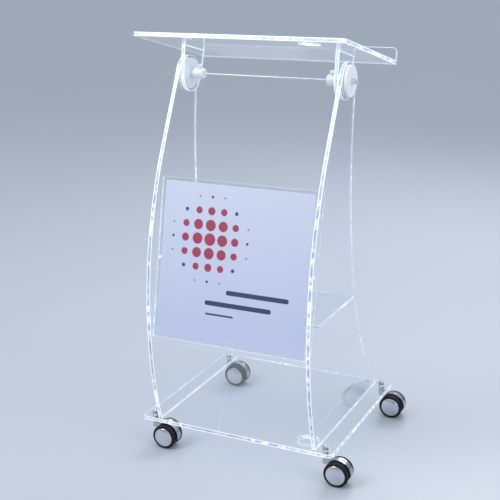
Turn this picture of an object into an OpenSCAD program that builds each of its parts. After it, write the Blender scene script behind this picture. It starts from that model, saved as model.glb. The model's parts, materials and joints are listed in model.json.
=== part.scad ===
// Presentation lectern in clear acrylic sheet, on four twin-wheel casters.
// Frame: millimetres, +Z up, X across the lectern, -Y towards the audience,
// origin on the floor under the centre of the base plate.

/* [Base] */
// Width of the base plate
base_w = 540; // [520:5:620]
// Depth of the base plate
base_d = 470; // [460:5:540]
// Thickness of the base, side and reading sheets
sheet_t = 10; // [8:1:12]
// Radius of the base plate's corners
base_corner_r = 12; // [8:1:24]
// Distance of each caster stem from the base plate's edges
stem_inset = 25; // [22:1:30]

/* [Side panels] */
// Gap between the inner faces of the two side panels
panel_gap = 430; // [410:2:436]
// Height of the tilt axis above the base plate
pivot_rise = 885; // [850:5:910]
// Distance of the tilt axis in front of the base plate's centre
pivot_forward = 23; // [10:1:35]
// Radius of each side panel's round head
head_r = 46; // [44:1:52]
// Distance from the base plate's centre to the front of each panel's foot
foot_front = 226; // [215:1:228]
// Distance from the base plate's centre to the back of each panel's foot
foot_back = 218; // [205:1:225]
// Radius of the bowed front edge
front_arc_r = 1010; // [960:10:1060]
// Height above the base plate at which the front edge bows out most
bow_rise = 270; // [250:5:290]
// Radius of the long arc that makes the waist of the back edge
waist_arc_r = 1400; // [1300:10:1500]
// Height above the base plate of the narrowest part of the waist
waist_rise = 640; // [620:5:660]
// Radius of the arc that flares the back edge out to the foot
flare_arc_r = 710; // [690:5:730]

/* [Reading top] */
// Width of the reading plate
top_w = 552; // [540:2:600]
// Depth of the reading plate
top_d = 374; // [340:2:400]
// Radius of the reading plate's front corners and of the page stop's top corners
top_corner_r = 10; // [4:1:14]
// Width of each ear where it meets the reading plate
ear_top_w = 104; // [96:2:120]
// Slope of the reading plate at rest, falling towards the speaker
top_tilt = 14; // [8:1:20]
// Distance from the tilt axis up to the underside of the reading plate
top_rise = 64.5; // [60:0.5:70]
// Height of the page stop above the reading plate
stop_h = 32; // [20:1:40]
// Thickness of the page stop
stop_t = 8; // [5:1:10]

/* [Cable holes] */
// Diameter of the cable holes in the base plate and in the reading plate
cable_hole_d = 52; // [40:1:56]
// Distance of the base plate's cable hole to the right of the centre
base_hole_x = 184; // [150:1:186]
// Distance of the base plate's cable hole behind its front edge
base_hole_in = 53; // [45:1:80]
// Distance of the reading plate's cable hole to the right of the centre
top_hole_x = 172; // [150:1:172]
// Distance of the reading plate's cable hole behind its front edge
top_hole_in = 46; // [40:1:70]

/* [Sign] */
// Height of the two sign sheets along their slope
sign_h = 408; // [380:2:420]
// Lean of the sign away from the audience
sign_lean = 12; // [10:1:14]
// Height of the sign's centre above the base plate
sign_rise = 446; // [440:1:452]
// Distance of the sign's centre in front of the base plate's centre
sign_forward = 214; // [205:1:215]
// Thickness of each sign sheet
sign_sheet_t = 4; // [3:0.5:5]
// Thickness of the printed card between the sheets
print_t = 0.5; // [0.4:0.1:0.8]
// Clear margin between the front sheet's edges and the printed card
print_margin = 7.5; // [6:0.5:20]

/* [Shelf] */
// Height of the shelf's top face above the base plate
shelf_rise = 320; // [280:5:380]
// Thickness of the shelf
shelf_t = 8; // [6:1:10]
// Distance of the shelf's front edge in front of the base plate's centre
shelf_forward = 200; // [180:1:205]
// Depth of the shelf
shelf_d = 238; // [200:2:240]

/* [Tilt clamp] */
// Diameter of the clamp discs
disc_d = 77; // [70:1:84]
// Thickness of the outer clamp discs
disc_t = 6.5; // [4:0.5:8]
// Thickness of the friction discs between panels and ears
friction_t = 2; // [1.5:0.5:4]
// Diameter of the tie rod
rod_d = 5; // [4:0.5:6]
// Diameter of the lock collars
collar_d = 28; // [24:1:32]
// Length of the lock collars without their necks
collar_l = 28; // [24:1:32]

/* [Casters] */
// Diameter of the caster wheels
wheel_d = 65; // [62:1:66]
// Width of each of a caster's two wheels
wheel_w = 15; // [12:1:16]
// Horizontal distance from the stem to the axle
trail = 35; // [33:1:37]

/* [Hidden] */
$fn = 64;
// Running clearance on a radius, and the small gap between faces that turn
run_gap = 0.05;
face_gap = 0.1;
// Glue line between a panel and the end of a sheet that stands between the panels
glue_line = 0.02;
// Chamfer on the ends of the rod and of the swivel pins
chamfer = 0.5;
eps = 1;

// Stations above the floor
base_z = 77;
base_top_z = base_z + sheet_t;
pivot_y = -pivot_forward;
pivot_z = base_top_z + pivot_rise;
axle_z = wheel_d / 2;

// Stations across, from the centre plane outwards
panel_in_x = panel_gap / 2;
panel_out_x = panel_in_x + sheet_t;
ear_out_x = panel_in_x - friction_t - face_gap;
ear_in_x = ear_out_x - sheet_t;
collar_out_x = ear_in_x - face_gap;
collar_neck_l = 7;
collar_neck_d = 16;
collar_in_x = collar_out_x - collar_neck_l - collar_l;
disc_out_x = panel_out_x + disc_t;

// Rod ends
rod_hole_r = rod_d / 2 + run_gap;
nut_d = 15;
nut_l = 15.5;
nut_bore_l = 13;
rod_end_gap = 1;
rod_end_x = disc_out_x + nut_bore_l - rod_end_gap;

// Collar screws
screw_head_d = 13;
screw_head_h = 8.5;
screw_r = 2.5;
screw_share = 0.48;
screw_x = collar_in_x + collar_l * screw_share;

// Sign
sign_gap = 5;
sign_back_w = panel_gap - 2 * glue_line;
sign_front_w = panel_gap - 2 * sign_gap;
print_w = sign_front_w - 2 * print_margin;
print_h = sign_h - 2 * print_margin;
stud_inset = 4;
stud_x = sign_front_w / 2 - stud_inset;
stud_r = 2.5;
stud_head_r = 4;
stud_head_h = 1.5;

// Caster stems and their fastenings
stem_x = base_w / 2 - stem_inset;
stem_y = base_d / 2 - stem_inset;
stem_r = 4;
pin_r = 4.5;
pin_l = 19;
flange_r = 8;
flange_h = 4;
washer_d = 16;
washer_h = 1.6;
stem_nut_af = 13;
stem_nut_h = 6.5;
stem_tip_h = 5.5;
stem_top_z = base_top_z + washer_h + stem_nut_h + stem_tip_h;
thread_pitch = 1.25;
thread_depth = 0.55;

// Caster swivel body
barrel_r = 7.5;
barrel_h = 23;
web_t = 15;
web_gap = 1;
lip_w = web_t + 2 * web_gap;
lip_gap = 1.4;
lip_t = 1.8;
axle_r = 4;
tyre_t = 7;
wheel_y = web_t / 2 + web_gap;
hub_r = wheel_d / 2 - tyre_t;
hub_inset = 0.5;
cap_inset = 0.3;
cap_r = hub_r - cap_inset;
cap_dome = 4;

acrylic = [0.80, 0.90, 0.97, 0.45];
frosted = [0.92, 0.93, 0.95];
chrome = [0.78, 0.80, 0.82];
steel = [0.62, 0.64, 0.66];

// ---------- helpers ----------

// Point at distance ra from a and rb from b. side picks one of the two such points.
function crossing(a, ra, b, rb, side) =
    let (d = norm(b - a),
         along = (ra * ra - rb * rb + d * d) / (2 * d),
         off = sqrt(ra * ra - along * along),
         e = (b - a) / d)
    a + along * e + side * off * [-e[1], e[0]];

function unit(v) = v / norm(v);

// A profile drawn in the (Y, Z) plane, extruded along +X from x
module yz_sheet(x, t) {
    translate([x, 0, 0])
        rotate([90, 0, 90])
            linear_extrude(height = t)
                children();
}

// A solid of revolution about an axis along X, profile given as [radius, x] points
module turned_x(profile) {
    rotate([90, 0, 90])
        rotate_extrude()
            polygon(profile);
}

// Rounded rectangle with sides w and d centred on the origin
module rounded_rect(w, d, r) {
    union() {
        square([w - 2 * r, d], center = true);
        square([w, d - 2 * r], center = true);
        for (sx = [-1, 1], sy = [-1, 1])
            translate([sx * (w / 2 - r), sy * (d / 2 - r)])
                circle(r);
    }
}

// Children placed in the reading top's frame: origin on the tilt axis, Z square to the plate
module in_top_frame() {
    translate([0, pivot_y, pivot_z])
        rotate([-top_tilt, 0, 0])
            children();
}

// Children placed in the sign's frame: origin at its centre, Z up along its slope
module in_sign_frame() {
    translate([0, -sign_forward, base_top_z + sign_rise])
        rotate([-sign_lean, 0, 0])
            children();
}

// Children copied to the four caster stems
module at_stems() {
    for (sx = [-1, 1], sy = [-1, 1])
        translate([sx * stem_x, sy * stem_y, 0])
            children();
}

// ---------- base, panels and shelf ----------

module base_plate() {
    color(acrylic)
        difference() {
            translate([0, 0, base_z])
                linear_extrude(height = sheet_t)
                    rounded_rect(base_w, base_d, base_corner_r);
            at_stems()
                translate([0, 0, base_z - eps])
                    cylinder(r = stem_r + face_gap, h = sheet_t + 2 * eps);
            translate([base_hole_x, base_hole_in - base_d / 2, base_z - eps])
                cylinder(d = cable_hole_d, h = sheet_t + 2 * eps);
        }
}

// Side outline above the base plate, cut from a block: a bowed front edge whose tangent
// runs straight on to the round head, and a waisted back edge of two tangent arcs that
// flares out to the foot.
module panel_outline() {
    head = [pivot_y, pivot_rise];
    bow_c = [sqrt(front_arc_r * front_arc_r - bow_rise * bow_rise) - foot_front, bow_rise];
    to_head = head - bow_c;
    bow_end = atan2(to_head[1], to_head[0]) + acos((front_arc_r - head_r) / norm(to_head));
    front_n = [cos(bow_end), sin(bow_end)];
    run = [front_n[1], -front_n[0]];
    bow_tip = bow_c + front_arc_r * front_n;
    waist_reach = waist_arc_r + head_r;
    waist_drop = waist_rise - pivot_rise;
    waist_c = [pivot_y + sqrt(waist_reach * waist_reach - waist_drop * waist_drop), waist_rise];
    back_n = unit(waist_c - head);
    flare_c = crossing(waist_c, waist_arc_r - flare_arc_r, [foot_back, 0], flare_arc_r, -1);
    bend = waist_c + waist_arc_r * unit(flare_c - waist_c);
    far = 2 * front_arc_r;
    difference() {
        translate([-far, 0])
            square([far + foot_back, pivot_rise + head_r]);
        // In front of the bow
        difference() {
            polygon([bow_c, bow_c + far * front_n, [-far, 0], [-far, -eps], [bow_c[0], -eps]]);
            translate(bow_c)
                circle(r = front_arc_r, $fn = 720);
        }
        // In front of the straight run
        polygon([bow_tip - far * run, bow_tip + far * run,
                 bow_tip + far * (run + front_n), bow_tip + far * (front_n - run)]);
        // Round the head
        difference() {
            polygon([head, head + far * front_n, [-far, pivot_rise + far],
                     [far, pivot_rise + far], head + far * back_n]);
            translate(head)
                circle(r = head_r, $fn = 96);
        }
        // Behind the waist and the flare
        intersection() {
            translate(waist_c)
                circle(r = waist_arc_r, $fn = 720);
            translate([-far, bend[1]])
                square([2 * far, pivot_rise]);
        }
        translate(flare_c)
            circle(r = flare_arc_r, $fn = 720);
    }
}

module side_panel(x) {
    color(acrylic)
        difference() {
            translate([0, 0, base_top_z])
                yz_sheet(x, sheet_t)
                    panel_outline();
            translate([x - eps, pivot_y, pivot_z])
                rotate([0, 90, 0])
                    cylinder(r = rod_hole_r, h = sheet_t + 2 * eps);
        }
}

module left_side_panel() { side_panel(-panel_out_x); }
module right_side_panel() { side_panel(panel_in_x); }

module shelf() {
    color(acrylic)
        translate([-panel_in_x + glue_line, -shelf_forward, base_top_z + shelf_rise - shelf_t])
            cube([panel_gap - 2 * glue_line, shelf_d, shelf_t]);
}

// ---------- sign ----------

// One clear sheet of the sign with its two stud holes, its front face at y
module sign_sheet(w, y) {
    color(acrylic)
        in_sign_frame()
            difference() {
                translate([-w / 2, y, -sign_h / 2])
                    cube([w, sign_sheet_t, sign_h]);
                for (sx = [-1, 1])
                    translate([sx * stud_x, y - eps, 0])
                        rotate([-90, 0, 0])
                            cylinder(r = stud_r + face_gap, h = sign_sheet_t + 2 * eps);
            }
}

module sign_back_sheet() { sign_sheet(sign_back_w, print_t / 2); }
module sign_front_sheet() { sign_sheet(sign_front_w, -print_t / 2 - sign_sheet_t); }

module sign_print() {
    color([0.93, 0.92, 0.97])
        in_sign_frame()
            translate([-print_w / 2, -print_t / 2, -print_h / 2])
                cube([print_w, print_t, print_h]);
}

// Clear press studs that hold the two sheets together
module sign_studs() {
    stack = sign_sheet_t + print_t / 2;
    color(acrylic)
        in_sign_frame()
            for (sx = [-1, 1])
                translate([sx * stud_x, 0, 0])
                    rotate([-90, 0, 0])
                        union() {
                            translate([0, 0, -stack])
                                cylinder(r = stud_r, h = 2 * stack);
                            translate([0, 0, -stack - stud_head_h])
                                cylinder(r = stud_head_r, h = stud_head_h);
                            translate([0, 0, stack])
                                cylinder(r = stud_head_r, h = stud_head_h);
                        }
}

// ---------- reading top ----------

module reading_plate() {
    color(acrylic)
        in_top_frame()
            difference() {
                translate([0, 0, top_rise])
                    linear_extrude(height = sheet_t)
                        union() {
                            rounded_rect(top_w, top_d, top_corner_r);
                            translate([-top_w / 2, 0])
                                square([top_w, top_d / 2]);
                        }
                translate([top_hole_x, top_hole_in - top_d / 2, top_rise - eps])
                    cylinder(d = cable_hole_d, h = sheet_t + 2 * eps);
            }
}

// Upright strip along the low edge, with its two top corners rounded
module page_stop() {
    color(acrylic)
        in_top_frame()
            translate([0, top_d / 2, top_rise + sheet_t])
                rotate([90, 0, 0])
                    linear_extrude(height = stop_t)
                        union() {
                            translate([0, stop_h / 2])
                                rounded_rect(top_w, stop_h, top_corner_r);
                            translate([-top_w / 2, 0])
                                square([top_w, stop_h / 2]);
                        }
}

// Tongue that hangs from the reading plate, with a round lower end that turns on the tie
// rod and straight edges that run tangent from it to the plate
module ear(x) {
    corner = [ear_top_w / 2, top_rise];
    edge_angle = atan2(corner[1], corner[0]) - acos(head_r / norm(corner));
    touch = head_r * [cos(edge_angle), sin(edge_angle)];
    color(acrylic)
        in_top_frame()
            difference() {
                yz_sheet(x, sheet_t)
                    union() {
                        circle(r = head_r, $fn = 96);
                        polygon([[0, 0], touch, corner, [-corner[0], corner[1]],
                                 [-touch[0], touch[1]]]);
                    }
                translate([x - eps, 0, 0])
                    rotate([0, 90, 0])
                        cylinder(r = rod_hole_r, h = sheet_t + 2 * eps);
            }
}

module left_ear() { ear(-ear_out_x); }
module right_ear() { ear(ear_in_x); }

// ---------- tilt clamp ----------

module on_pivot() {
    translate([0, pivot_y, pivot_z])
        children();
}

// Children for the right side as drawn, or mirrored for the left side
module sided(side) {
    on_pivot()
        mirror([side < 0 ? 1 : 0, 0, 0])
            children();
}

module tie_rod() {
    color(steel)
        on_pivot()
            turned_x([[0, -rod_end_x], [rod_d / 2 - chamfer, -rod_end_x],
                      [rod_d / 2, chamfer - rod_end_x], [rod_d / 2, rod_end_x - chamfer],
                      [rod_d / 2 - chamfer, rod_end_x], [0, rod_end_x]]);
}

// Frosted disc with a bevelled outer rim, on the panel's outer face
module outer_disc(side) {
    bevel = 1.5;
    color(frosted)
        sided(side)
            turned_x([[rod_hole_r, panel_out_x], [disc_d / 2, panel_out_x],
                      [disc_d / 2, disc_out_x - bevel], [disc_d / 2 - bevel, disc_out_x],
                      [rod_hole_r, disc_out_x]]);
}

module left_outer_disc() { outer_disc(-1); }
module right_outer_disc() { outer_disc(1); }

// Frosted discs between each side panel and the ear beside it
module friction_discs() {
    color(frosted)
        for (side = [-1, 1])
            sided(side)
                turned_x([[rod_hole_r, panel_in_x - friction_t],
                          [disc_d / 2, panel_in_x - friction_t],
                          [disc_d / 2, panel_in_x], [rod_hole_r, panel_in_x]]);
}

// White collar locked on the rod: a neck against the ear, a body with a domed inner end
// and a cross hole for its screw
module lock_collar(side) {
    dome = 6;
    dome_steps = 8;
    body_r = collar_d / 2;
    bore_r = rod_d / 2;
    body_out_x = collar_out_x - collar_neck_l;
    bevel = 1;
    color(frosted)
        sided(side)
            difference() {
                turned_x(concat(
                    [[bore_r, collar_out_x], [bore_r, collar_in_x]],
                    [for (i = [0:dome_steps])
                        let (a = 90 * i / dome_steps)
                        [body_r - dome + dome * sin(a), collar_in_x + dome - dome * cos(a)]],
                    [[body_r, body_out_x - bevel], [body_r - bevel, body_out_x],
                     [collar_neck_d / 2, body_out_x], [collar_neck_d / 2, collar_out_x]]));
                translate([screw_x, 0, 0])
                    cylinder(r = screw_r + run_gap, h = collar_d);
            }
}

module left_lock_collar() { lock_collar(-1); }
module right_lock_collar() { lock_collar(1); }

// Screw with a round grooved head that stands on top of a collar and bears on the rod
module collar_screw(side) {
    head_lift = 0.5;
    head_z = collar_d / 2 + head_lift;
    head_top_z = head_z + screw_head_h;
    head_r = screw_head_d / 2;
    foot_z = rod_d / 2 + face_gap;
    low_bevel = 1;
    top_bevel = 1.5;
    grooves = 12;
    groove_r = 0.8;
    color(frosted)
        sided(side)
            translate([screw_x, 0, 0])
                difference() {
                    rotate_extrude()
                        polygon([[0, foot_z], [screw_r, foot_z], [screw_r, head_z],
                                 [head_r - low_bevel, head_z], [head_r, head_z + low_bevel],
                                 [head_r, head_top_z - top_bevel],
                                 [head_r - top_bevel, head_top_z], [0, head_top_z]]);
                    for (i = [0:grooves - 1])
                        rotate([0, 0, i * 360 / grooves])
                            translate([head_r, 0, head_z - eps])
                                cylinder(r = groove_r, h = screw_head_h + 2 * eps);
                }
}

module left_collar_screw() { collar_screw(-1); }
module right_collar_screw() { collar_screw(1); }

// Round steel nut on each end of the rod, closed at its outer end
module rod_nut(side) {
    inner_x = disc_out_x + face_gap;
    outer_x = inner_x + nut_l;
    bore_end_x = inner_x + nut_bore_l;
    nut_r = nut_d / 2;
    crown_l = 2.5;
    crown_slope = 0.8;
    face_bevel_l = 1;
    face_r = nut_r - 2.4;
    color(steel)
        sided(side)
            turned_x([[rod_hole_r, inner_x], [nut_r, inner_x], [nut_r, outer_x - crown_l],
                      [nut_r - crown_slope, outer_x - face_bevel_l], [face_r, outer_x],
                      [0, outer_x], [0, bore_end_x], [rod_hole_r, bore_end_x]]);
}

module left_rod_nut() { rod_nut(-1); }
module right_rod_nut() { rod_nut(1); }

// ---------- caster stems ----------

// Threaded stem through the base plate, a flange under it and a plain swivel pin below
module caster_stems() {
    plain_l = 1;
    lead_in = 2;
    thread_bottom_z = base_top_z + plain_l;
    turns = floor((stem_top_z - lead_in - thread_bottom_z) / thread_pitch);
    root_r = stem_r - thread_depth;
    flange_z = base_z - flange_h;
    pin_z = flange_z - pin_l;
    tip_in = 1.2;
    tip_r = stem_r - tip_in;
    color(steel)
        at_stems()
            rotate_extrude()
                polygon(concat(
                    [[0, pin_z], [pin_r - chamfer, pin_z], [pin_r, pin_z + chamfer],
                     [pin_r, flange_z], [flange_r, flange_z], [flange_r, base_z],
                     [stem_r, base_z], [stem_r, thread_bottom_z]],
                    [for (i = [0:turns - 1])
                        for (p = [[root_r, 0.5], [stem_r, 1]])
                            [p[0], thread_bottom_z + thread_pitch * (i + p[1])]],
                    [[tip_r, stem_top_z], [0, stem_top_z]]));
}

module stem_washers() {
    color(chrome)
        at_stems()
            difference() {
                translate([0, 0, base_top_z])
                    cylinder(d = washer_d, h = washer_h);
                translate([0, 0, base_top_z - eps])
                    cylinder(r = stem_r, h = washer_h + 2 * eps);
            }
}

module stem_nuts() {
    color(chrome)
        at_stems()
            difference() {
                translate([0, 0, base_top_z + washer_h])
                    cylinder(r = stem_nut_af / sqrt(3), h = stem_nut_h, $fn = 6);
                translate([0, 0, base_top_z + washer_h - eps])
                    cylinder(r = stem_r, h = stem_nut_h + 2 * eps);
            }
}

// ---------- casters ----------

// Corner positions: sx and sy are -1 or 1
module at_corner(sx, sy) {
    translate([sx * stem_x, sy * stem_y, 0])
        children();
}

// Children placed on the axle, with local Z along -Y for side -1 and along +Y for side 1
module on_axle(side) {
    translate([trail, 0, axle_z])
        rotate([side < 0 ? 90 : -90, 0, 0])
            children();
}

// Chrome body: a swivel barrel, and a web between the wheels with a lip arched over its rim
module hood(sx, sy) {
    lip_in_r = wheel_d / 2 + lip_gap;
    lip_out_r = lip_in_r + lip_t;
    barrel_top_z = base_z - flange_h - face_gap;
    lip_lead = 19;
    lip_drop = 2;
    web_drop = 8;
    web_lap = 0.5;
    web_neck_h = barrel_h - 10;
    pin_end_gap = 1;
    boss_r = 9;
    lug_r = 15;
    color(chrome)
        at_corner(sx, sy)
            difference() {
                union() {
                    translate([0, 0, barrel_top_z - barrel_h])
                        cylinder(r = barrel_r, h = barrel_h);
                    // web with its boss round the axle
                    translate([trail, web_t / 2, axle_z])
                        rotate([90, 0, 0])
                            linear_extrude(height = web_t)
                                union() {
                                    circle(r = boss_r);
                                    intersection() {
                                        circle(r = lip_in_r + web_lap, $fn = 128);
                                        translate([-lug_r, -web_drop])
                                            square([2 * lip_out_r, 2 * lip_out_r]);
                                    }
                                    translate([-trail, barrel_top_z - axle_z - barrel_h])
                                        square([trail, web_neck_h]);
                                }
                    // arched lip
                    translate([trail, lip_w / 2, axle_z])
                        rotate([90, 0, 0])
                            linear_extrude(height = lip_w)
                                difference() {
                                    circle(r = lip_out_r, $fn = 128);
                                    circle(r = lip_in_r, $fn = 128);
                                    // below the lip's ends
                                    translate([-2 * lip_out_r, -4 * lip_out_r - lip_drop])
                                        square([4 * lip_out_r, 4 * lip_out_r]);
                                    // ahead of the lip, beside the barrel
                                    translate([-2 * lip_out_r - lip_lead, -lip_out_r])
                                        square([2 * lip_out_r, 3 * lip_out_r]);
                                }
                }
                translate([0, 0, barrel_top_z - pin_l - pin_end_gap])
                    cylinder(r = pin_r + run_gap, h = pin_l + pin_end_gap + eps);
                translate([trail, web_t, axle_z])
                    rotate([90, 0, 0])
                        cylinder(r = axle_r, h = 2 * web_t);
            }
}

module axle(sx, sy) {
    half = wheel_y + wheel_w - hub_inset - 2 * face_gap;
    color(steel)
        at_corner(sx, sy)
            translate([trail, half, axle_z])
                rotate([90, 0, 0])
                    cylinder(r = axle_r, h = 2 * half);
}

// Rubber tyre with rounded shoulders
module tyre(sx, sy, side) {
    r = wheel_d / 2;
    shoulder = 3.5;
    steps = 5;
    color([0.07, 0.07, 0.08])
        at_corner(sx, sy)
            on_axle(side)
                translate([0, 0, wheel_y])
                    rotate_extrude($fn = 96)
                        polygon(concat(
                            [[hub_r, 0]],
                            [for (i = [0:steps])
                                let (a = 90 * i / steps)
                                [r - shoulder + shoulder * sin(a), shoulder - shoulder * cos(a)]],
                            [for (i = [0:steps])
                                let (a = 90 * i / steps)
                                [r - shoulder + shoulder * cos(a),
                                 wheel_w - shoulder + shoulder * sin(a)]],
                            [[hub_r, wheel_w]]));
}

// Moulded hub that runs on the axle
module hub(sx, sy, side) {
    boss_r = 8;
    boss_flare = 1;
    recess = 3;
    rim_w = 2;
    rim_flare = 1;
    h = wheel_w - hub_inset;
    color([0.35, 0.36, 0.38])
        at_corner(sx, sy)
            on_axle(side)
                translate([0, 0, wheel_y])
                    rotate_extrude($fn = 96)
                        polygon([[axle_r + run_gap, 0], [boss_r, 0],
                                 [boss_r + boss_flare, recess],
                                 [hub_r - rim_w - rim_flare, recess],
                                 [hub_r - rim_w, hub_inset], [hub_r, hub_inset],
                                 [hub_r, h], [axle_r + run_gap, h]]);
}

// Satin domed cap that covers the hub's outer face
module cap(sx, sy, side) {
    base = wheel_y + wheel_w - hub_inset;
    rim_h = 0.8;
    steps = 8;
    color([0.82, 0.84, 0.87])
        at_corner(sx, sy)
            on_axle(side)
                translate([0, 0, base])
                    rotate_extrude($fn = 96)
                        polygon(concat(
                            [[0, 0], [cap_r, 0], [cap_r, rim_h]],
                            [for (i = [1:steps])
                                let (a = 90 * i / steps)
                                [cap_r * cos(a), rim_h + cap_dome * sin(a)]]));
}

module front_left_hood() { hood(-1, -1); }
module front_left_axle() { axle(-1, -1); }
module front_left_tyre_a() { tyre(-1, -1, -1); }
module front_left_hub_a() { hub(-1, -1, -1); }
module front_left_cap_a() { cap(-1, -1, -1); }
module front_left_tyre_b() { tyre(-1, -1, 1); }
module front_left_hub_b() { hub(-1, -1, 1); }
module front_left_cap_b() { cap(-1, -1, 1); }

module front_right_hood() { hood(1, -1); }
module front_right_axle() { axle(1, -1); }
module front_right_tyre_a() { tyre(1, -1, -1); }
module front_right_hub_a() { hub(1, -1, -1); }
module front_right_cap_a() { cap(1, -1, -1); }
module front_right_tyre_b() { tyre(1, -1, 1); }
module front_right_hub_b() { hub(1, -1, 1); }
module front_right_cap_b() { cap(1, -1, 1); }

module rear_left_hood() { hood(-1, 1); }
module rear_left_axle() { axle(-1, 1); }
module rear_left_tyre_a() { tyre(-1, 1, -1); }
module rear_left_hub_a() { hub(-1, 1, -1); }
module rear_left_cap_a() { cap(-1, 1, -1); }
module rear_left_tyre_b() { tyre(-1, 1, 1); }
module rear_left_hub_b() { hub(-1, 1, 1); }
module rear_left_cap_b() { cap(-1, 1, 1); }

module rear_right_hood() { hood(1, 1); }
module rear_right_axle() { axle(1, 1); }
module rear_right_tyre_a() { tyre(1, 1, -1); }
module rear_right_hub_a() { hub(1, 1, -1); }
module rear_right_cap_a() { cap(1, 1, -1); }
module rear_right_tyre_b() { tyre(1, 1, 1); }
module rear_right_hub_b() { hub(1, 1, 1); }
module rear_right_cap_b() { cap(1, 1, 1); }

base_plate();
left_side_panel();
right_side_panel();
shelf();
sign_back_sheet();
sign_front_sheet();
sign_print();
sign_studs();
reading_plate();
page_stop();
left_ear();
right_ear();
tie_rod();
left_outer_disc();
right_outer_disc();
friction_discs();
left_lock_collar();
right_lock_collar();
left_collar_screw();
right_collar_screw();
left_rod_nut();
right_rod_nut();
caster_stems();
stem_washers();
stem_nuts();
front_left_hood();
front_left_axle();
front_left_tyre_a();
front_left_hub_a();
front_left_cap_a();
front_left_tyre_b();
front_left_hub_b();
front_left_cap_b();
front_right_hood();
front_right_axle();
front_right_tyre_a();
front_right_hub_a();
front_right_cap_a();
front_right_tyre_b();
front_right_hub_b();
front_right_cap_b();
rear_left_hood();
rear_left_axle();
rear_left_tyre_a();
rear_left_hub_a();
rear_left_cap_a();
rear_left_tyre_b();
rear_left_hub_b();
rear_left_cap_b();
rear_right_hood();
rear_right_axle();
rear_right_tyre_a();
rear_right_hub_a();
rear_right_cap_a();
rear_right_tyre_b();
rear_right_hub_b();
rear_right_cap_b();
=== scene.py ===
"""Looks, light and camera for a clear acrylic lectern on twin-wheel casters."""

import json
import math

import bmesh
import bpy
from mathutils import Matrix, Vector


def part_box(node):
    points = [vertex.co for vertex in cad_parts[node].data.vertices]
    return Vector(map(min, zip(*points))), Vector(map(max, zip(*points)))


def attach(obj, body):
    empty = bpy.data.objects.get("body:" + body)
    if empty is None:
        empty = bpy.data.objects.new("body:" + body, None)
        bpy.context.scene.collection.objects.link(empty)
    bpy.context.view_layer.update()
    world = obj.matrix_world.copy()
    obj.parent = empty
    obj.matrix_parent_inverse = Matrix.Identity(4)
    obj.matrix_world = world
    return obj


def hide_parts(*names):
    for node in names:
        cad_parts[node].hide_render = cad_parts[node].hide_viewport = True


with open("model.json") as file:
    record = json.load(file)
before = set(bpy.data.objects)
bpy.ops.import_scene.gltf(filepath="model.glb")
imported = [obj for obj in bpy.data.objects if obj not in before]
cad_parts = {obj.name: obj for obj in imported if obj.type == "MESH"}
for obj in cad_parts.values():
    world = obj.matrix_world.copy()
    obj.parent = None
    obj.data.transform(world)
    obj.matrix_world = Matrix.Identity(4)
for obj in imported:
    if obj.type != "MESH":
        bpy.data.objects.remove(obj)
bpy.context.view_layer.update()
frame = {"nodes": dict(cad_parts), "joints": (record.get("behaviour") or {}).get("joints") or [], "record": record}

MM = 0.001
BODIES = frame["record"]["behaviour"]["bodies"]
BODY_OF = {node: body for body, nodes in BODIES.items() for node in nodes}
PIVOT = next(Vector(j["pos_m"]) for j in frame["joints"] if j["name"] == "top_tilt")
CORNERS = ("front_left", "front_right", "rear_left", "rear_right")
ACRYLIC_IOR = 1.49

# ---------------------------------------------------------------- materials


class Look:
    """One material's node tree, with short calls that add and join its nodes."""

    def __init__(self, name):
        self.material = bpy.data.materials.new(name)
        self.material.use_nodes = True
        self.tree = self.material.node_tree
        self.tree.nodes.clear()

    def add(self, kind, inputs=None, **settings):
        """A new node. inputs maps an input's name or number to a value or to a socket."""
        node = self.tree.nodes.new("ShaderNode" + kind)
        for key, value in settings.items():
            setattr(node, key, value)
        for key, value in (inputs or {}).items():
            if isinstance(value, bpy.types.NodeSocket):
                self.tree.links.new(value, node.inputs[key])
            else:
                node.inputs[key].default_value = value
        return node

    def place(self, origin=(0, 0, 0), stretch=(1, 1, 1)):
        """Coordinates fixed to the piece, in metres, counted from origin and stretched."""
        spot = self.add("TexCoord").outputs["Object"]
        moved = self.add("VectorMath", {0: spot, 1: Vector(origin)}, operation="SUBTRACT")
        scaled = self.add("VectorMath", {0: moved.outputs[0], 1: Vector(stretch)}, operation="MULTIPLY")
        return scaled.outputs[0]

    def noise(self, scale, detail, stretch=(1, 1, 1)):
        """Noise from 0 to 1. scale is in features per metre."""
        inputs = {"Vector": self.place(stretch=stretch), "Scale": scale, "Detail": detail}
        return self.add("TexNoise", inputs).outputs[0]

    def rings(self, origin, axis, scale):
        """Fine turning lines round an axis through origin. scale is in lines per metre."""
        inputs = {"Vector": self.place(origin), "Scale": scale / 2, "Distortion": 0.4, "Detail": 2.0}
        wave = self.add("TexWave", inputs, wave_type="RINGS", rings_direction=axis)
        return wave.outputs["Fac"]

    def span(self, value, low, high, start=0.0, end=1.0):
        """value's stretch from start to end, carried over to low to high."""
        inputs = {"Value": value, "From Min": start, "From Max": end, "To Min": low, "To Max": high}
        return self.add("MapRange", inputs).outputs[0]

    def math(self, operation, *values):
        """One arithmetic step on numbers or sockets."""
        return self.add("Math", dict(enumerate(values)), operation=operation).outputs[0]

    def blend(self, share, first, second):
        """A colour between first and second."""
        mix = self.add("Mix", {0: share}, data_type="RGBA")
        for socket, value in ((mix.inputs[6], first), (mix.inputs[7], second)):
            if isinstance(value, bpy.types.NodeSocket):
                self.tree.links.new(value, socket)
            else:
                socket.default_value = (*value, 1)
        return mix.outputs[2]

    def bump(self, height, distance):
        """A normal from a height. distance is the height's full step in metres."""
        inputs = {"Height": height, "Distance": distance, "Strength": 1.0}
        return self.add("Bump", inputs).outputs[0]

    def mix(self, share, first, second):
        """A shader between first and second."""
        return self.add("MixShader", {0: share, 1: first.outputs[0], 2: second.outputs[0]})

    def surface(self, shader):
        """Puts the shader on the output and returns the material."""
        self.add("OutputMaterial", {"Surface": shader.outputs[0]})
        return self.material


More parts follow.
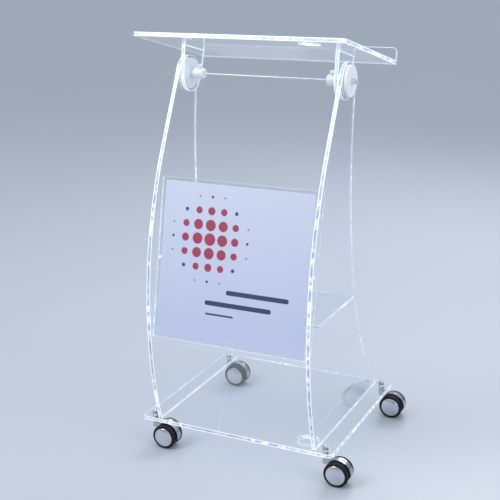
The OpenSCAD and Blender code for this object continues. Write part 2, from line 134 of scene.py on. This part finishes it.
def let_lamps_through(look, shader, tint):
    """The shader as seen, and a plain tint for rays that light what is behind it and for rays
    that have been thrown to and fro many times inside a sheet."""
    deepest = 9
    path = look.add("LightPath")
    carried = look.math("MAXIMUM", path.outputs["Is Shadow Ray"], path.outputs["Is Diffuse Ray"])
    spent = look.math("GREATER_THAN", path.outputs["Ray Depth"], deepest)
    carried = look.math("MAXIMUM", carried, spent)
    return look.mix(carried, shader, look.add("BsdfTransparent", {"Color": (*tint, 1)}))


def clear_face():
    """Polished face of clear acrylic sheet, with faint wipe marks and a slight wave."""
    look = Look("acrylic_face")
    wipes = look.noise(5, 4, stretch=(1, 1, 3))
    wave = look.bump(look.noise(2.5, 1), 0.15 * MM)
    glass = look.add("BsdfGlass", {
        "Color": look.blend(wipes, (0.980, 0.988, 0.995), (0.992, 0.996, 1.0)),
        "Roughness": look.span(wipes, 0.0, 0.008, 0.45, 0.75),
        "IOR": ACRYLIC_IOR,
        "Normal": wave,
    })
    return look.surface(let_lamps_through(look, glass, (0.965, 0.98, 0.99)))


def edge_of(node, middle, normal, half):
    """Polished edge of one sheet, with painted light on it. A painted glow, an emission strongest
    along its two arrises and in patches between them, stands in for the light that the sheet
    pipes. Where the glow is weak the edge is painted dark blue as painted shade, and it is partly
    clear like the face.
    middle and normal give the sheet's middle plane, and half is half its thickness."""
    look = Look("acrylic_edge_" + node)
    spot = look.place(middle)
    across = look.add("VectorMath", {0: spot, 1: normal}, operation="DOT_PRODUCT").outputs["Value"]
    out = look.math("DIVIDE", look.math("ABSOLUTE", across), half)
    # Painted glow mask: strongest near both arrises, with noise patches and streaks between them.
    arris = look.span(out, 0.0, 1.0, 0.40, 0.85)
    broad = look.span(look.noise(9, 2), 0.35, 1.0, 0.42, 0.60)
    streaks = look.span(look.noise(60, 2), 0.15, 1.0, 0.42, 0.60)
    painted_glow_share = look.math("MAXIMUM", arris, look.math("MULTIPLY", broad, streaks))
    # Painted light: dark blue painted shade where the glow is weak and a pale painted glow where it is strong. The
    # edge also emits this colour.
    colour = look.blend(painted_glow_share, (0.38, 0.51, 0.72), (0.95, 0.98, 1.0))
    saw_lines = look.noise(700, 2, stretch=(1, 1, 0.15))
    grain = look.bump(saw_lines, 0.02 * MM)
    # Painted glow: this shader emits light though the edge is no lamp.
    painted_glow_shader = look.add("BsdfPrincipled", {
        "Base Color": colour,
        "Roughness": look.span(saw_lines, 0.10, 0.25),
        "IOR": ACRYLIC_IOR,
        "Normal": grain,
        "Emission Color": colour,
        "Emission Strength": 0.45,
    })
    glass = look.add("BsdfGlass", {
        "Color": (0.95, 0.98, 1.0, 1),
        "Roughness": 0.03,
        "IOR": ACRYLIC_IOR,
        "Normal": grain,
    })
    share = look.span(painted_glow_share, 0.60, 1.0)
    return look.surface(let_lamps_through(look, look.mix(share, glass, painted_glow_shader), (0.93, 0.96, 0.98)))


def clear_stud():
    """Clear press stud with a painted glow: an emissive pale shader, mixed in by noise, stands in for the
    brightness of its rounded head.
    """
    look = Look("clear_stud")
    # Painted glow: noise sets how much of the emissive shader shows.
    bright = look.span(look.noise(300, 2), 0.35, 0.75)
    # Painted glow: this shader emits light though the stud is no lamp.
    painted_glow_shader = look.add("BsdfPrincipled", {
        "Base Color": (0.90, 0.95, 1.0, 1),
        "Roughness": 0.2,
        "Emission Color": (0.86, 0.94, 1.0, 1),
        "Emission Strength": 0.35,
    })
    glass = look.add("BsdfGlass", {"Color": (0.95, 0.98, 1.0, 1), "Roughness": 0.03, "IOR": ACRYLIC_IOR})
    return look.surface(let_lamps_through(look, look.mix(bright, glass, painted_glow_shader), (0.85, 0.90, 0.95)))


def printed_card():
    """Card printed on its front: a pale ground with a plain pattern of dots and a few bars."""
    look = Look("printed_card")
    low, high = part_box("sign_print")
    across, up = high.x - low.x, high.z - low.z
    parts = look.add("SeparateXYZ", {0: look.place((low + high) / 2)})
    x, y = parts.outputs["X"], parts.outputs["Z"]
    soft = 0.4 * MM
    middle_dot = 0.44  # radius of the middle dot, in pitches
    outer_dots = 0.82  # share of the pattern's reach beyond which the dots are navy

    def length(dx, dy):
        squares = look.math("MULTIPLY", dx, dx), look.math("MULTIPLY", dy, dy)
        return look.math("SQRT", look.math("ADD", *squares))

    def inside(distance, radius):
        """1 within the radius and 0 beyond it, with a soft step between."""
        over = look.math("SUBTRACT", distance, radius)
        return look.span(over, 1.0, 0.0, -soft, soft)

    def bar(start, end, cy, half):
        """A level bar with round ends."""
        nearest = look.math("MINIMUM", look.math("MAXIMUM", x, start), end)
        return inside(length(look.math("SUBTRACT", x, nearest), look.math("SUBTRACT", y, cy)), half)

    def halftone(cx, cy, pitch, reach):
        """Dots on a square grid that shrink away from the middle one."""
        places = [look.math("SUBTRACT", value, middle) for value, middle in ((x, cx), (y, cy))]
        cells = [look.math("ROUND", look.math("DIVIDE", place, pitch)) for place in places]
        offsets = [look.math("SUBTRACT", place, look.math("MULTIPLY", cell, pitch))
                   for place, cell in zip(places, cells)]
        away = look.math("DIVIDE", length(*cells), reach)
        shrink = look.math("SUBTRACT", 1.0, look.math("MULTIPLY", away, away))
        size = look.math("MULTIPLY", shrink, middle_dot * pitch)
        return inside(length(*offsets), size), away

    fibre = look.noise(900, 3)
    mottle = look.noise(160, 4)
    height = look.span(y, 0.0, 1.0, -up / 2, up / 2)
    ground = look.blend(height, (0.66, 0.68, 0.88), (0.79, 0.80, 0.92))
    ground = look.blend(look.span(fibre, 0.0, 0.10), ground, (0.95, 0.95, 0.96))
    dots, away = halftone(-0.17 * across, 0.15 * up, 0.085 * across, 3.4)
    bars = bar(-0.02 * across, 0.37 * across, -0.17 * up, 0.015 * up)
    bars = look.math("MAXIMUM", bars, bar(-0.16 * across, 0.26 * across, -0.25 * up, 0.015 * up))
    bars = look.math("MAXIMUM", bars, bar(-0.16 * across, 0.02 * across, -0.32 * up, 0.006 * up))
    crimson, navy = (0.46, 0.012, 0.060), (0.008, 0.020, 0.11)
    normal = look.add("SeparateXYZ", {0: look.add("TexCoord").outputs["Normal"]})
    is_front = look.math("LESS_THAN", normal.outputs["Y"], 0.0)
    cover = look.math("MULTIPLY", look.span(mottle, 0.93, 1.0), is_front)
    dot_ink = look.blend(look.math("GREATER_THAN", away, outer_dots), crimson, navy)
    colour = look.blend(look.math("MULTIPLY", cover, dots), ground, dot_ink)
    colour = look.blend(look.math("MULTIPLY", cover, bars), colour, navy)
    paper = look.add("BsdfPrincipled", {
        "Base Color": colour,
        "Roughness": look.span(fibre, 0.42, 0.60),
        "Normal": look.bump(fibre, 0.02 * MM),
    })
    return look.surface(paper)


def frosted(origin):
    """Frosted white acrylic, turned, so it carries fine rings round the tilt axis."""
    look = Look("frosted_acrylic")
    lines = look.rings(origin, "X", 1200)
    cloud = look.noise(60, 3)
    shader = look.add("BsdfPrincipled", {
        "Base Color": look.blend(cloud, (0.93, 0.94, 0.97), (0.98, 0.98, 1.0)),
        "Roughness": look.span(lines, 0.30, 0.46),
        "Subsurface Weight": 0.3,
        "Subsurface Radius": (3 * MM, 3 * MM, 4 * MM),
        "Subsurface Scale": 1.0,
        "IOR": ACRYLIC_IOR,
        "Normal": look.bump(lines, 0.02 * MM),
    })
    return look.surface(shader)


def nylon():
    """White moulded nylon with a soft gloss."""
    look = Look("white_nylon")
    skin = look.noise(1100, 3)
    shader = look.add("BsdfPrincipled", {
        "Base Color": look.blend(look.noise(70, 2), (0.84, 0.86, 0.88), (0.92, 0.93, 0.94)),
        "Roughness": look.span(skin, 0.24, 0.38),
        "Subsurface Weight": 0.35,
        "Subsurface Radius": (4 * MM, 4 * MM, 4 * MM),
        "Subsurface Scale": 1.0,
        "IOR": 1.53,
        "Normal": look.bump(skin, 0.02 * MM),
    })
    return look.surface(shader)


def turned_steel(name, origin, axis, lines_per_m=1500):
    """Bright steel with the fine lines that the lathe left round its axis."""
    look = Look(name)
    lines = look.rings(origin, axis, lines_per_m)
    stain = look.noise(120, 4)
    shader = look.add("BsdfPrincipled", {
        "Base Color": look.blend(stain, (0.66, 0.67, 0.69), (0.82, 0.83, 0.85)),
        "Metallic": 1.0,
        "Roughness": look.math("ADD", look.span(lines, 0.14, 0.24), look.span(stain, 0.0, 0.10)),
        "Normal": look.bump(lines, 0.02 * MM),
    })
    return look.surface(shader)


def chrome():
    """Chrome plate over a die casting: bright, with the casting's slight waviness."""
    look = Look("bright_chrome")
    waves = look.noise(90, 2)
    haze = look.noise(400, 4)
    shader = look.add("BsdfPrincipled", {
        "Base Color": look.blend(haze, (0.44, 0.45, 0.47), (0.58, 0.59, 0.61)),
        "Metallic": 1.0,
        "Roughness": look.span(haze, 0.05, 0.16),
        "Normal": look.bump(waves, 0.12 * MM),
    })
    return look.surface(shader)


def tyre_rubber():
    """Black rubber with a fine grain and a little pale dust."""
    look = Look("tyre_rubber")
    grain = look.noise(1600, 4)
    dust = look.noise(140, 5)
    dusty = look.span(dust, 0.0, 0.35, 0.55, 0.85)
    shader = look.add("BsdfPrincipled", {
        "Base Color": look.blend(dusty, (0.004, 0.004, 0.006), (0.03, 0.03, 0.03)),
        "Roughness": look.span(dust, 0.45, 0.70),
        "Specular IOR Level": 0.3,
        "Normal": look.bump(grain, 0.06 * MM),
    })
    return look.surface(shader)


def moulded_grey():
    """Grey moulded plastic with a spark-eroded grain."""
    look = Look("moulded_grey")
    grain = look.noise(2200, 3)
    shader = look.add("BsdfPrincipled", {
        "Base Color": look.blend(look.noise(90, 3), (0.085, 0.09, 0.095), (0.13, 0.135, 0.14)),
        "Roughness": look.span(grain, 0.45, 0.62),
        "Normal": look.bump(grain, 0.03 * MM),
    })
    return look.surface(shader)


def satin_cap(corner, centre):
    """Satin silver caps of one caster, spun, with fine rings round the axle."""
    look = Look("satin_cap_" + corner)
    lines = look.rings(centre, "Y", 1500)
    grain = look.noise(700, 3)
    shader = look.add("BsdfPrincipled", {
        "Base Color": look.blend(grain, (0.62, 0.63, 0.67), (0.74, 0.75, 0.80)),
        "Metallic": 1.0,
        "Roughness": look.math("ADD", look.span(lines, 0.10, 0.16), look.span(grain, 0.0, 0.08)),
        "Normal": look.bump(lines, 0.004 * MM),
    })
    return look.surface(shader)


# ---------------------------------------------------------------- mesh helpers


SHARP = math.radians(35)
COUNT_AS_FLAT = math.radians(0.2)
WELD = 0.002 * MM


def show(mesh, node, materials):
    """Shows the mesh in place of the CAD node, on the node's body, with the given materials."""
    piece = bpy.data.objects.new(node + "_visual", mesh)
    bpy.context.scene.collection.objects.link(piece)
    flatten = piece.modifiers.new("flat_faces_stay_flat", "WEIGHTED_NORMAL")
    flatten.keep_sharp = True
    flatten.weight = 100
    for material in materials:
        mesh.materials.append(material)
    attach(piece, BODY_OF[node])
    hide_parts(node)


def smooth(mesh):
    """Smooth shading, with sharp edges kept."""
    mesh.shade_smooth()
    mesh.set_sharp_from_angle(angle=SHARP)
    return mesh


def rounded_copy(node, radius):
    """The CAD node's shape with its flat faces made whole and its sharp edges rounded."""
    cad = frame["nodes"][node].data
    mesh = bpy.data.meshes.new(node + "_visual")
    mesh.from_pydata([v.co for v in cad.vertices], [], [list(p.vertices) for p in cad.polygons])
    bm = bmesh.new()
    bm.from_mesh(mesh)
    bmesh.ops.remove_doubles(bm, verts=bm.verts, dist=WELD)
    bmesh.ops.dissolve_limit(bm, angle_limit=COUNT_AS_FLAT, verts=bm.verts, edges=bm.edges)
    sharp = [e for e in bm.edges if len(e.link_faces) == 2 and e.calc_face_angle() > SHARP]
    bmesh.ops.bevel(bm, geom=sharp, offset=radius, offset_type="OFFSET", segments=2,
                    profile=0.5, affect="EDGES", clamp_overlap=True)
    bmesh.ops.recalc_face_normals(bm, faces=bm.faces)
    bm.to_mesh(mesh)
    bm.free()
    return smooth(mesh)


def arc(radius, along, size, start, end, steps=5):
    """Points of an arc in a (radius, along) profile. Angle 0 points outwards, 90 along."""
    angles = [math.radians(start + (end - start) * i / steps) for i in range(steps + 1)]
    return [(radius + size * math.cos(a), along + size * math.sin(a)) for a in angles]


def spin(bm, origin, axis, rings, count):
    """Adds a closed solid of revolution. A ring is (radius, along) in millimetres, either of
    them a number or a function of the angle. A radius of 0 closes an end to a point."""
    turn = Vector((0, 0, 1)).rotation_difference(Vector(axis)).to_matrix()
    loops = []
    for radius, along in rings:
        loop = []
        for i in range(count if radius != 0 else 1):
            angle = 2 * math.pi * i / count
            r = radius(angle) if callable(radius) else radius
            z = along(angle) if callable(along) else along
            spot = Vector((r * math.cos(angle), r * math.sin(angle), z)) * MM
            loop.append(bm.verts.new(Vector(origin) + turn @ spot))
        loops.append(loop)
    is_ring = len(loops[0]) > 1 and len(loops[-1]) > 1
    for a, b in zip(loops, loops[1:] + loops[:1] if is_ring else loops[1:]):
        for i in range(count):
            k = (i + 1) % count
            corners = [a[i % len(a)], a[k % len(a)], b[k % len(b)], b[i % len(b)]]
            bm.faces.new(list(dict.fromkeys(corners)))


def turned(node, materials, origins, axis, rings, count=96):
    """Shows the node as one solid of revolution at each origin."""
    bm = bmesh.new()
    for origin in origins:
        spin(bm, origin, axis, rings, count)
    bmesh.ops.recalc_face_normals(bm, faces=bm.faces)
    mesh = bpy.data.meshes.new(node + "_visual")
    bm.to_mesh(mesh)
    bm.free()
    show(smooth(mesh), node, materials)


# ---------------------------------------------------------------- sheets and sign

EDGE_ROUNDING = 0.5 * MM


def sheet(node, face):
    """One clear sheet: its two broad faces look through, and its edges carry a painted glow."""
    mesh = rounded_copy(node, EDGE_ROUNDING)
    broad = max(mesh.polygons, key=lambda p: p.area).normal.copy()
    depths = [v.co.dot(broad) for v in mesh.vertices]
    half = (max(depths) - min(depths)) / 2
    middle = broad * (min(depths) + half)
    show(mesh, node, (face, edge_of(node, middle, broad, half)))
    for polygon in mesh.polygons:
        polygon.material_index = 0 if abs(polygon.normal.dot(broad)) > 0.99 else 1


def card(node, material):
    """The printed card, with cut corners and a hair of air to the sheets on both sides."""
    corner, air = 1.5 * MM, 0.1 * MM
    mesh = rounded_copy(node, 0)
    bm = bmesh.new()
    bm.from_mesh(mesh)
    broad = max(bm.faces, key=lambda f: f.calc_area()).normal.copy()
    middle = sum((v.co for v in bm.verts), Vector()) / len(bm.verts)
    short = [e for e in bm.edges if abs((e.verts[0].co - e.verts[1].co).normalized().dot(broad)) > 0.9]
    bmesh.ops.bevel(bm, geom=short, offset=corner, segments=4, profile=0.5, affect="EDGES")
    for v in bm.verts:
        side = (v.co - middle).dot(broad)
        v.co -= broad * math.copysign(air, side)
    bm.to_mesh(mesh)
    bm.free()
    show(smooth(mesh), node, (material,))


# ---------------------------------------------------------------- tilt clamp

BORE = 2.55  # radius in millimetres of the holes for the tie rod


def clamp_discs(material):
    """Frosted discs on the tilt axis, with a rounded bright rim."""
    inner_round, outer_round = 0.4, 1.2
    for side, name in ((-1, "left_outer_disc"), (1, "right_outer_disc")):
        low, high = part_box(name)
        radius = (high.z - low.z) / 2 / MM
        thick = (high.x - low.x) / MM
        inner = Vector((low.x if side > 0 else high.x, PIVOT.y, PIVOT.z))
        rings = [(BORE, 0), *arc(radius - inner_round, inner_round, inner_round, -90, 0, 3),
                 *arc(radius - outer_round, thick - outer_round, outer_round, 0, 90), (BORE, thick)]
        turned(name, (material,), [inner], (side, 0, 0), rings, 128)

    round_off, clearance = 0.3, 0.1
    low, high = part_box("friction_discs")
    radius = (high.z - low.z) / 2 / MM
    thick = (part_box("left_ear")[0].x - low.x) / MM - clearance
    rings = [(BORE, 0), *arc(radius - round_off, round_off, round_off, -90, 0, 3),
             *arc(radius - round_off, thick - round_off, round_off, 0, 90, 3), (BORE, thick)]
    origins = [Vector((low.x, PIVOT.y, PIVOT.z)), Vector((high.x - thick * MM, PIVOT.y, PIVOT.z))]
    turned("friction_discs", (material,), origins, (1, 0, 0), rings, 128)


def bar_rings(radius, length):
    """Rings of a plain round bar with both ends bevelled."""
    bevel = 0.5
    return [(0, 0), (radius - bevel, 0), (radius, bevel), (radius, length - bevel),
            (radius - bevel, length), (0, length)]


def tie_rod(material):
    low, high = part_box("tie_rod")
    radius, length = (high.z - low.z) / 2 / MM, (high.x - low.x) / MM
    start = Vector((low.x, PIVOT.y, PIVOT.z))
    turned("tie_rod", (material,), [start], (1, 0, 0), bar_rings(radius, length), 48)


def rod_nuts(material):
    """Round nuts with two fine grooves, a domed end and a closed bore."""
    bore_end, dome, groove_depth, edge, dimple = 13, 2, 0.35, 0.5, 0.5
    for side, name in ((-1, "left_rod_nut"), (1, "right_rod_nut")):
        low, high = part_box(name)
        length = (high.x - low.x) / MM
        radius = (high.z - low.z) / 2 / MM
        inner = Vector((low.x if side > 0 else high.x, PIVOT.y, PIVOT.z))
        floor = radius - groove_depth
        rings = [(0, bore_end), (BORE, bore_end), (BORE, 0),
                 *arc(radius - edge, edge, edge, -90, 0, 3)]
        for groove in (2.4, 3.8):
            rings += [(radius, groove), (floor, groove + 0.3), (floor, groove + 0.5),
                      (radius, groove + 0.8)]
        rings += [*arc(radius - dome, length - dome, dome, 0, 90), (radius - 3.4, length),
                  (radius - 3.8, length - dimple), (0, length - dimple)]
        turned(name, (material,), [inner], (side, 0, 0), rings)


def collar_screws(material):
    """Knurled thumb screws that stand on the lock collars."""
    head_tall, ridges, shank = 8.5, 24, 2.5
    for name in ("left_collar_screw", "right_collar_screw"):
        low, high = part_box(name)
        axis_at = (low + high) / 2
        radius = (high.x - low.x) / 2 / MM
        foot, top = (low.z - PIVOT.z) / MM, (high.z - PIVOT.z) / MM
        head = top - head_tall

        def knurl(depth, outer):
            """The radius at an angle, with rounded ridges that reach outer."""
            return lambda angle: outer - depth * (0.5 - 0.5 * math.cos(ridges * angle)) ** 2

        rings = [(0, foot), (shank - 0.4, foot), (shank, foot + 0.4), (shank, head), (radius - 1.4, head),
                 (knurl(0.1, radius - 0.5), head + 0.5), (knurl(0.55, radius), head + 1.1),
                 (knurl(0.55, radius), top - 1.8), (knurl(0.1, radius - 0.6), top - 1.0),
                 (radius - 1.5, top - 0.3), (radius - 2.4, top), (radius - 3.0, top),
                 (radius - 3.3, top - 0.6), (0, top - 0.6)]
        origin = Vector((axis_at.x, axis_at.y, PIVOT.z))
        turned(name, (material,), [origin], (0, 0, 1), rings, 144)


# ---------------------------------------------------------------- casters

STEMS = [Vector(j["pos_m"]) for j in frame["joints"] if j["name"].endswith("_swivel_turn")]
FLOOR_POINTS = [Vector((stem.x, stem.y, 0)) for stem in STEMS]
STEM_R, SWIVEL_PIN_R, FLANGE_R = 4.0, 4.5, 8.0  # millimetres


def thread(start, end, pitch, crest, depth):
    """Rings of a screw thread along a profile, from start to end."""
    per_turn, steepness = 6, 1.25
    total = round((end - start) / pitch * per_turn)

    def ring(z):
        def radius(angle):
            phase = (z / pitch - angle / (2 * math.pi)) % 1
            return crest - depth * min(1, abs(2 * phase - 1) * steepness)
        return radius, z

    return [ring(start + (end - start) * i / total) for i in range(total + 1)]


def stems(material):
    """Threaded stems with their flange and swivel pin."""
    low, high = (corner.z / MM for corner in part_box("caster_stems"))
    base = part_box("base_plate")[0].z / MM
    flange_t, edge, pitch, depth = 4, 0.5, 1.25, 0.6
    rim = FLANGE_R - edge
    rings = [(0, low), (SWIVEL_PIN_R - edge, low), (SWIVEL_PIN_R, low + edge),
             (SWIVEL_PIN_R, base - flange_t), *arc(rim, base - flange_t + edge, edge, -90, 0, 3),
             *arc(rim, base - edge, edge, 0, 90, 3), (STEM_R, base), (STEM_R, base + 0.3)]
    rings += thread(base + 0.8, high - 1.6, pitch, STEM_R, depth)
    rings += [(3.2, high - 0.9), (2.6, high - 0.2), (2.0, high), (0, high)]
    turned("caster_stems", (material,), FLOOR_POINTS, (0, 0, 1), rings, 36)


def stem_washers(material):
    radius, under_edge, top_edge = 8.0, 0.3, 0.5
    low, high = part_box("stem_washers")
    at = [point + Vector((0, 0, low.z)) for point in FLOOR_POINTS]
    thick = (high.z - low.z) / MM
    rings = [(STEM_R, 0), *arc(radius - under_edge, under_edge, under_edge, -90, 0, 3),
             *arc(radius - top_edge, thick - top_edge, top_edge, 0, 90, 3), (STEM_R, thick)]
    turned("stem_washers", (material,), at, (0, 0, 1), rings, 72)


def stem_nuts(material):
    """Hex nuts with their corners chamfered at both ends."""
    low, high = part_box("stem_nuts")
    at = [point + Vector((0, 0, low.z)) for point in FLOOR_POINTS]
    tall, flat, lead_in = (high.z - low.z) / MM, 6.5, 0.4

    def hexagon(angle):
        return flat / math.cos(angle % (math.pi / 3) - math.pi / 6)

    def chamfer(angle):
        return 0.15 + (hexagon(angle) - flat) * 0.75

    def top(angle):
        return tall - chamfer(angle)

    mouth = STEM_R + lead_in
    rings = [(STEM_R, lead_in), (mouth, 0), (flat - 0.3, 0), (hexagon, chamfer), (hexagon, top),
             (flat - 0.3, tall), (mouth, tall), (STEM_R, tall - lead_in)]
    turned("stem_nuts", (material,), at, (0, 0, 1), rings, 72)


def axle(corner, material):
    """One caster's axle. Returns its middle."""
    name = corner + "_axle"
    low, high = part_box(name)
    radius, length = (high.x - low.x) / 2 / MM, (high.y - low.y) / MM
    centre = (low + high) / 2
    start = Vector((centre.x, low.y, centre.z))
    turned(name, (material,), [start], (0, 1, 0), bar_rings(radius, length), 48)
    return centre


def wheel(corner, which, rubber, grey, satin):
    """One wheel: a grooved tyre, a dished hub and a spun cap."""
    side = -1 if which == "a" else 1
    low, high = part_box(f"{corner}_tyre_{which}")
    width, radius = (high.y - low.y) / MM, (high.z - low.z) / 2 / MM
    centre = (low + high) / 2
    inner = Vector((centre.x, high.y if side < 0 else low.y, centre.z))
    outward = (0, side, 0)
    hub_low, hub_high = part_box(f"{corner}_hub_{which}")
    seat = (hub_high.z - hub_low.z) / 2 / MM

    shoulder, groove_depth, wall = 3.4, 0.5, radius - 4.6
    floor = radius - groove_depth
    tread = [*arc(radius - shoulder, shoulder, shoulder, -80, 0, 6)]
    for groove in (width / 2 - 2.2, width / 2 + 1.4):
        tread += [(radius, groove), (floor, groove + 0.15), (floor, groove + 0.65),
                  (radius, groove + 0.8)]
    tread += arc(radius - shoulder, width - shoulder, shoulder, 0, 80, 6)
    rings = [(seat, 0.5), (seat + 0.4, 0.1), (wall, 0), *tread, (wall, width),
             (seat + 0.4, width - 0.1), (seat, width - 0.5)]
    turned(f"{corner}_tyre_{which}", (rubber,), [inner], outward, rings, 128)

    bore = 4.05
    boss = [(bore, 0.3), (bore + 0.3, 0), (8.0, 0)]
    dish = [(9.0, 3.0), (12.5, 3.3), (13.1, 2.7), (14.3, 2.7), (14.9, 3.3), (seat - 3.2, 3.0)]
    rings = [*boss, *dish, (seat - 2.2, 0.6), (seat, 0.5), (seat, width - 0.5), (bore, width - 0.5)]
    turned(f"{corner}_hub_{which}", (grey,), [inner], outward, rings)

    low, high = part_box(f"{corner}_cap_{which}")
    rim, dome = (high.z - low.z) / 2 / MM, (high.y - low.y) / MM
    face = Vector((centre.x, high.y if side < 0 else low.y, centre.z))
    edge, edge_up, fullness, steps = rim - 1.5, 1.45, 2.3, 10
    rings = [(0, 0), (rim - 0.3, 0), (rim, 0.3), (rim, 0.8), (rim - 0.5, 1.3), (rim - 1.1, 1.25),
             (edge, edge_up)]
    shares = [k / steps for k in range(steps - 1, 0, -1)]
    rings += [(edge * share, dome - (dome - edge_up) * share ** fullness) for share in shares]
    rings += [(1.2, dome - 0.05), (0, dome)]
    turned(f"{corner}_cap_{which}", (satin,), [face], outward, rings, 128)


def main_build():
    """Builds every visible piece."""
    face = clear_face()
    for node in ("base_plate", "left_side_panel", "right_side_panel", "reading_plate", "page_stop",
                 "left_ear", "right_ear", "shelf", "sign_back_sheet", "sign_front_sheet"):
        sheet(node, face)
    card("sign_print", printed_card())
    show(rounded_copy("sign_studs", 0.3 * MM), "sign_studs", (clear_stud(),))

    clamp_discs(frosted(PIVOT))
    white = nylon()
    for node in ("left_lock_collar", "right_lock_collar"):
        show(rounded_copy(node, 0.35 * MM), node, (white,))
    collar_screws(white)
    tie_rod(turned_steel("rod_steel", PIVOT, "X", 300))
    rod_nuts(turned_steel("nut_steel", PIVOT, "X"))

    bright, rubber, grey = chrome(), tyre_rubber(), moulded_grey()
    steel = turned_steel("stem_steel", STEMS[0], "Z", 400)
    stems(steel)
    stem_washers(bright)
    stem_nuts(bright)
    for corner in CORNERS:
        show(rounded_copy(corner + "_hood", 0.7 * MM), corner + "_hood", (bright,))
        satin = satin_cap(corner, axle(corner, steel))
        for which in "ab":
            wheel(corner, which, rubber, grey, satin)


main_build()


# ---------------------------------------------------------------- floor, light and camera

YAW, PITCH, ROLL = (math.radians(a) for a in (-26.258, 17.185, -0.906))
CAMERA_AT = Vector((1.1037, -2.3565, 1.3202))
LENS_MM = 74.46


def add_floor():
    """A wide pale floor."""
    look = Look("floor")
    drift = look.noise(0.8, 2)
    shader = look.add("BsdfPrincipled", {
        "Base Color": look.blend(drift, (0.47, 0.50, 0.56), (0.50, 0.53, 0.59)),
        "Roughness": 0.4,
    })
    half = 40
    corners = [(-half, -half, 0), (half, -half, 0), (half, half, 0), (-half, half, 0)]
    mesh = bpy.data.meshes.new("floor")
    mesh.from_pydata(corners, [], [(0, 1, 2, 3)])
    mesh.materials.append(look.surface(shader))
    floor = bpy.data.objects.new("floor", mesh)
    bpy.context.scene.collection.objects.link(floor)


def softbox(name, at, target, size, watts):
    """A large soft lamp that is seen in reflections only."""
    data = bpy.data.lights.new(name, "AREA")
    data.shape = "RECTANGLE"
    data.size, data.size_y = size
    data.energy = watts
    lamp = bpy.data.objects.new(name, data)
    lamp.location = at
    lamp.rotation_euler = (Vector(target) - Vector(at)).to_track_quat("-Z", "Y").to_euler()
    lamp.visible_camera = False
    lamp.visible_transmission = False
    bpy.context.scene.collection.objects.link(lamp)


def add_light():
    """Plain soft studio light: a pale surround and three large lamps."""
    world = bpy.data.worlds.new("studio")
    world.use_nodes = True
    tree = world.node_tree
    surround = tree.nodes["Background"]
    height = tree.nodes.new("ShaderNodeSeparateXYZ")
    ramp = tree.nodes.new("ShaderNodeValToRGB")
    direction = tree.nodes.new("ShaderNodeTexCoord")
    tree.links.new(direction.outputs["Generated"], height.inputs[0])
    tree.links.new(height.outputs["Z"], ramp.inputs[0])
    tree.links.new(ramp.outputs[0], surround.inputs["Color"])
    level, sky = ramp.color_ramp.elements
    level.color, level.position = (0.20, 0.26, 0.40, 1), 0.0
    sky.color, sky.position = (0.85, 0.90, 0.96, 1), 0.7
    surround.inputs["Strength"].default_value = 0.9
    bpy.context.scene.world = world
    softbox("key", (-1.9, -2.3, 2.9), (0, 0, 0.5), (1.8, 1.8), 55)
    softbox("fill", (2.8, -0.8, 1.7), (0, 0, 0.6), (1.6, 2.2), 25)
    softbox("back", (0.4, 2.6, 2.5), (0, 0, 0.6), (2.4, 1.4), 45)


def add_camera():
    """The camera in front of the lectern, a little to the right and above, turned by ROLL."""
    forward = Vector((math.sin(YAW) * math.cos(PITCH), math.cos(YAW) * math.cos(PITCH), -math.sin(PITCH)))
    right = Vector((math.cos(YAW), -math.sin(YAW), 0))
    up = right.cross(forward)
    tilted_right = math.cos(ROLL) * right + math.sin(ROLL) * up
    tilted_up = math.cos(ROLL) * up - math.sin(ROLL) * right
    data = bpy.data.cameras.new("camera")
    data.lens = LENS_MM
    data.sensor_width = 36
    camera = bpy.data.objects.new("camera", data)
    axes = Matrix((tilted_right, tilted_up, -forward)).transposed().to_4x4()
    camera.matrix_world = Matrix.Translation(CAMERA_AT) @ axes
    bpy.context.scene.collection.objects.link(camera)
    bpy.context.scene.camera = camera


add_floor()
add_light()
add_camera()
scene = bpy.context.scene
scene.view_settings.view_transform = "Standard"
BOUNCES = 24
scene.cycles.max_bounces = BOUNCES
scene.cycles.transmission_bounces = BOUNCES
scene.cycles.transparent_max_bounces = BOUNCES
